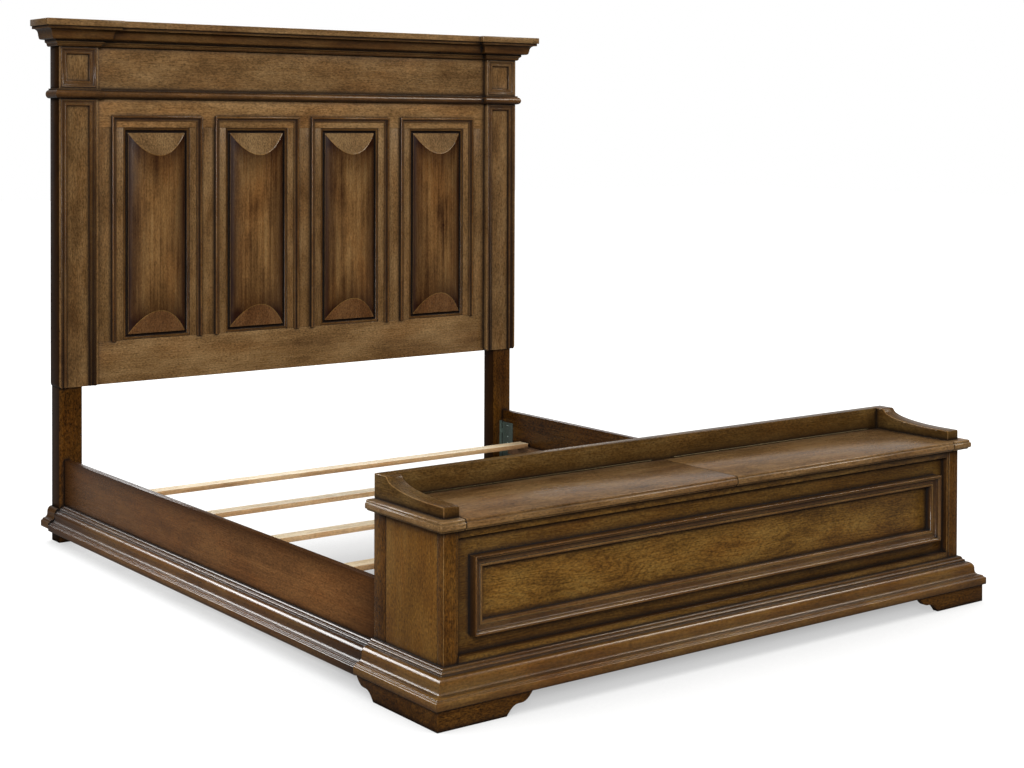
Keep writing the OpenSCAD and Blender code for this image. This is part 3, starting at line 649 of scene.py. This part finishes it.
head = make.node("GeometryNodeMeshCone", {}, {
    "Vertices": 20,
    "Radius Top": given["Crown radius"],
    "Radius Bottom": given["Head radius"],
    "Depth": given["Head height"],
})
head = set_at(head, given["Head height"] * -1)
recess = []
for broad, narrow in ("YX", "XY"):
    size = {
        broad: given["Recess reach"],
        narrow: given["Recess width"],
        "Z": given["Recess depth"] * 2,
    }
    size = make.node("ShaderNodeCombineXYZ", {}, size)
    recess.append(make.node("GeometryNodeMeshCube", {}, {"Size": size}))
cut = {"Mesh 1": head, "Mesh 2": recess}
head = make.node("GeometryNodeMeshBoolean", {"operation": "DIFFERENCE", "solver": "EXACT"}, cut)
shank = make.node("GeometryNodeMeshCone", {}, {
    "Vertices": 12,
    "Radius Top": given["Shank radius"],
    "Radius Bottom": given["Shank radius"] * tip_share,
    "Depth": given["Length"] - given["Head height"],
})
shank = set_at(shank, given["Length"] * -1)
screw = make.node("GeometryNodeJoinGeometry", {}, {"Geometry": [shank, head]})
way = {"data_type": "FLOAT_VECTOR"}
way = make.node("GeometryNodeInputNamedAttribute", way, {"Name": "facing"})
upright = make.node("FunctionNodeAlignRotationToVector", {"axis": "Z"}, {"Vector": way})
spin = make.node("FunctionNodeRandomValue", {"data_type": "FLOAT"}, {"Max": 1.5, "Seed": 11}, 1)
spin = make.node("FunctionNodeAxisAngleToRotation", {}, {"Angle": spin})
turned = make.node("FunctionNodeRotateRotation", {"rotation_space": "LOCAL"}, {0: upright, 1: spin})
driven = {"Points": given["Places"], "Instance": screw, "Rotation": turned}
driven = make.node("GeometryNodeInstanceOnPoints", {}, driven)
driven = make.node("GeometryNodeRealizeInstances", {}, {"Geometry": driven})
plated = make.node("GeometryNodeSetMaterial", {}, {"Geometry": driven, "Material": zinc.material})
leaving = screw_tree.nodes.new("NodeGroupOutput")
screw_tree.links.new(plated.socket, leaving.inputs["Screws"])


def drive_screws(places, ways, **sizes):
    """One mesh of screws, made by the tree at the given places."""
    spots = bpy.data.meshes.new("screw_places")
    spots.from_pydata([tuple(at) for at in places], [], [])
    pointing = spots.attributes.new("facing", "FLOAT_VECTOR", "POINT")
    pointing.data.foreach_set("vector", np.array(ways, dtype=float).ravel())
    piece = bpy.data.objects.new("screw_places", spots)
    bpy.context.scene.collection.objects.link(piece)
    driver = piece.modifiers.new("screws", "NODES")
    driver.node_group = screw_tree
    for item in screw_tree.interface.items_tree:
        key = item.name.replace(" ", "_").lower()
        if item.in_out == "INPUT" and key in sizes:
            driver[item.identifier] = float(sizes[key])
    plain_mesh(piece)
    return piece


# Each solid screw gives the place, the way and the length of a finished one
merged = bmesh.new()
merged.from_mesh(frame["nodes"]["wood_screws"].data)
bmesh.ops.remove_doubles(merged, verts=merged.verts, dist=weld)
solid_screws = bpy.data.meshes.new("solid_screws")
merged.to_mesh(solid_screws)
merged.free()
at = np.array([v.co[:] for v in solid_screws.vertices])
owner = islands(solid_screws)
kinds = {"pan": [], "flush": []}
for k in range(owner.max() + 1):
    own = at[owner == k]
    axis = int(np.ptp(own, axis=0).argmax())
    middle = (own.min(0) + own.max(0)) / 2
    from_axis = np.linalg.norm(np.delete(own - middle, axis, 1), axis=1)
    length = np.ptp(own[:, axis])
    way = np.zeros(3)
    way[axis] = np.sign(own[from_axis.argmax(), axis] - middle[axis])
    kinds["flush" if axis == 2 else "pan"].append((middle + way * length / 2, way, length))
pan_places, pan_ways, pan_lengths = zip(*kinds["pan"])
flush_places, flush_ways, flush_lengths = zip(*kinds["flush"])
screws = drive_screws(pan_places, pan_ways, length=pan_lengths[0])
flush = drive_screws(
    flush_places, flush_ways, length=flush_lengths[0], crown_radius=0.004, recess_reach=0.0048
)
both = bmesh.new()
both.from_mesh(screws.data)
both.from_mesh(flush.data)
both.to_mesh(screws.data)
both.free()
bpy.data.objects.remove(flush)
screws.name = "wood_screws_finished"
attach(screws, carried_by["wood_screws"])
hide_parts("wood_screws")

# ---- Chest -----------------------------------------------------------------
# The footboard is a chest: corner posts, end panels and a front board with a wide sill
# under it and a bold mitred moulding on it. Inside are a softwood bottom and divider.

walnut_front = stained_wood(
    "walnut_front",
    stain(46, 24, 1),
    stain(105, 74, 28),
    stain(131, 101, 49),
    figure=0.42,
    flecks=3.2,
    shaded=0.8,
    burst=(0.8, 0.75, 0.93),
)
walnut_post = stained_wood(
    "walnut_post", stain(44, 22, 1), stain(84, 53, 14), stain(108, 75, 28), shaded=0.6, flecks=4.0
)
walnut_end = stained_wood(
    "walnut_end",
    stain(62, 34, 1),
    stain(128, 89, 33),
    stain(154, 117, 56),
    flecks=3.6,
    shaded=0.5,
    burst=(0.45, 0.5, 0.6),
)
for side in ("left", "right"):
    wooden("chest_front_post_" + side, walnut_post, along_z, worn=walnut_worn)
    wooden("chest_rear_post_" + side, walnut_post, along_z)
    wooden("chest_end_panel_" + side, walnut_end, along_z)
for node in ("chest_front_board", "chest_top_rail", "chest_sill"):
    wooden(node, walnut_front, along_x)
wooden("chest_panel_moulding", walnut_moulding, arris=0.001, worn=walnut_worn)
wooden("chest_back", walnut_shadow, along_x)
wooden("chest_bottom", pine, along_x)
wooden("chest_divider", pine, along_y)

# ---- Base of the chest -----------------------------------------------------
# One bold moulding, mitred at the front corners, runs round three sides. Under it stand
# bracket feet whose ends are sawn to a scroll.

walnut_base_moulding = moulding_finish(
    "walnut_base_moulding",
    stain(34, 16, 2),
    stain(95, 64, 28),
    stain(120, 89, 44),
    shaded=0.9,
    burst=(0.6, 0.42, 0.995),
    full_hollow=0.2,
    under=0.9,
    rough=0.25,
    lustre=0.45,
)
wooden("chest_base_moulding", walnut_base_moulding, arris=0.001)
for side in ("left", "right"):
    wooden("front_foot_" + side, walnut_shadow, along_x)

# ---- Top, gallery and lids -------------------------------------------------
# Two lids lie between fixed ends, all with the same moulded edge. A low gallery stands
# at the back, and its ends sweep down to the front.

walnut_gallery = stained_wood(
    "walnut_gallery",
    stain(38, 22, 2),
    stain(79, 56, 25),
    stain(106, 83, 46),
    shaded=0.7,
    lustre=0.12,
)
for side in ("left", "right"):
    wooden("chest_top_end_" + side, walnut, along_x, arris=wide_arris, worn=walnut_worn)
    wooden("gallery_end_" + side, walnut_gallery, along_y, arris=wide_arris, worn=walnut_worn)
    wooden("lid_" + side, walnut, along_x, arris=wide_arris, worn=walnut_worn)
wooden("gallery_back", walnut_gallery, along_x, arris=wide_arris, worn=walnut_worn)

# ---- Piano hinges ----------------------------------------------------------
# Folded brass leaves, darkened, join each lid to the foot of the gallery. Their rolled
# knuckles turn on one long pin, so the lid lifts on its whole length.

bronze = Finish("bronzed_brass")
on_hinge = bronze.node("ShaderNodeTexCoord", {}, {}, "Object")
patina = {"Vector": on_hinge, "Scale": 90.0, "Detail": 3.0}
patina = bronze.node("ShaderNodeTexNoise", {}, patina)
bronze.surface(
    Base_Color=bronze.blend(patina, stain(40, 32, 20), stain(92, 78, 52)),
    Roughness=patina * 0.3 + 0.25,
    Metallic=0.9,
)
coat(("hinge_fixed_leaves", "hinge_pins", "hinge_lid_leaf_left", "hinge_lid_leaf_right"), bronze)

# ---- Floor -----------------------------------------------------------------
# A sheet of white paper. It glows to the camera so that it stays white round the bed, less
# where the bed stands close over it, and least between the rails behind the chest: the weaker
# glow is the bed's painted shadow.

reach = 30.0
corners = ((-1, -1), (1, -1), (1, 1), (-1, 1))
sheet = bpy.data.meshes.new("floor")
sheet.from_pydata([(x * reach, y * reach, 0) for x, y in corners], [], [(0, 1, 2, 3)])
floor = bpy.data.objects.new("floor", sheet)
bpy.context.scene.collection.objects.link(floor)
paper = Finish("paper")
in_gloss = paper.node("ShaderNodeLightPath", {}, {}, "Is Glossy Ray")
paper.surface(
    Base_Color=paper.blend(in_gloss, (0.2, 0.2, 0.2, 1), (0.05, 0.05, 0.05, 1)),
    Roughness=0.9,
    Specular_IOR_Level=0.0,
)
seen = paper.node("ShaderNodeLightPath", {}, {}, "Is Camera Ray")
seen = seen.maths("MAXIMUM", paper.node("ShaderNodeLightPath", {}, {}, "Is Transmission Ray"))
spot = paper.node("ShaderNodeTexCoord", {}, {}, "Object")
away = paper.node("ShaderNodeVectorMath", {"operation": "LENGTH"}, {0: spot}, "Value")
# Painted shadow: less glow in the floor's hollows by the bed and behind the chest.
open_floor = paper.openness(0.8).between(0.3, 0.8)
along = paper.part(spot, 1)
shadow_behind_chest = 1 - paper.part(spot, 0).maths("ABSOLUTE").between(0.9, 1.0)
shadow_behind_chest = shadow_behind_chest * (1 - along.between(-0.3, 0.9)) * along.between(-1.2, -0.9)
strength = (away.between(1.9, 4.0) * 0.25 + open_floor * 0.45 + 0.5) * (1 - shadow_behind_chest)
strength = (seen + in_gloss * 0.12) * strength
glow = paper.node("ShaderNodeEmission", {}, {"Color": (1, 1, 1, 1), "Strength": strength})
lit = paper.node("ShaderNodeAddShader", {}, {0: Value(paper, paper.shader.outputs[0]), 1: glow})
paper.tree.links.new(lit.socket, paper.tree.nodes["Material Output"].inputs["Surface"])
sheet.materials.append(paper.material)

# ---- Room and lamps --------------------------------------------------------
# The room is white to the eye and dim to the wood. In the lacquer it is dark, with a
# bright wall at the back and a bright patch overhead. Four soft lamps light the bed.

room = bpy.data.worlds.new("studio")
bpy.context.scene.world = room
room.use_nodes = True
walls = Nodes(room.node_tree, "Background")
way = walls.node("ShaderNodeTexCoord", {}, {}, "Generated")
to_right = walls.part(way, 0)
backdrop = (to_right * 0.5 + walls.part(way, 1) * 0.87).between(0.62, 0.92)
overhead = (to_right * 0.55 + walls.part(way, 2) * 0.83).between(0.72, 0.95)
bounced = walls.node("ShaderNodeLightPath", {}, {}, "Is Diffuse Ray")
mirrored = walls.node("ShaderNodeLightPath", {}, {}, "Is Glossy Ray")
in_mirror = backdrop.maths("MAXIMUM", overhead) * 0.6 + 0.03
walls.surface(
    Color=(1, 1, 1, 1),
    Strength=(1 - bounced - mirrored) + bounced * 0.3 + mirrored * in_mirror,
)


def soft_lamp(name, place, target, size, watts, tint=(1, 1, 1), only=()):
    """A soft box at a place, turned to its target. It can light some objects only."""
    lamp = bpy.data.objects.new(name, bpy.data.lights.new(name, "AREA"))
    lamp.data.shape = "RECTANGLE"
    lamp.data.size, lamp.data.size_y = size
    lamp.data.energy = watts
    lamp.data.color = tint
    lamp.location = place
    lamp.rotation_euler = (Vector(target) - Vector(place)).to_track_quat("-Z", "Y").to_euler()
    lamp.visible_camera = False
    bpy.context.scene.collection.objects.link(lamp)
    if only:
        lamp.light_linking.receiver_collection = bpy.data.collections.new(name + "_lights")
        for piece in only:
            lamp.light_linking.receiver_collection.objects.link(piece)


low_kinds = ("rail", "chest", "lid", "slat", "gallery")
low_pieces = [o for o in bpy.data.objects if o.name.endswith("_finished")]
low_pieces = [o for o in low_pieces if o.name.split("_")[0] in low_kinds]
soft_lamp("key", (-6.2, -9.0, 5.2), (0, 0, 0.5), (3.8, 3.8), 1130)
soft_lamp("right", (3.7, -2.5, 4.0), (0, -0.8, 0.3), (1.5, 1.5), 90, (1, 0.95, 0.84))
soft_lamp("behind", (2.4, 6.0, 3.0), (0, 1.2, 1.0), (3.4, 2.4), 150)
soft_lamp(
    "back", (-2.85, 3.9, 2.75), (-0.9, -0.9, 0.2), (2.3, 1.7), 185, only=low_pieces + [floor]
)

# ---- Camera ----------------------------------------------------------------
# It stands at the front left, at the height of the headboard's panels, and its back is
# shifted so that the posts stay upright.

camera = bpy.data.objects.new("camera", bpy.data.cameras.new("camera"))
camera.location = (-3.5367, -4.8954, 1.5049)
camera.rotation_euler = [math.radians(a) for a in (89.0559, -0.1869, -36.7958)]
camera.data.sensor_width = 36
camera.data.lens = 62.273
camera.data.shift_x = -0.0012
camera.data.shift_y = -0.22
bpy.context.scene.collection.objects.link(camera)
bpy.context.scene.camera = camera
bpy.context.scene.view_settings.view_transform = "Standard"
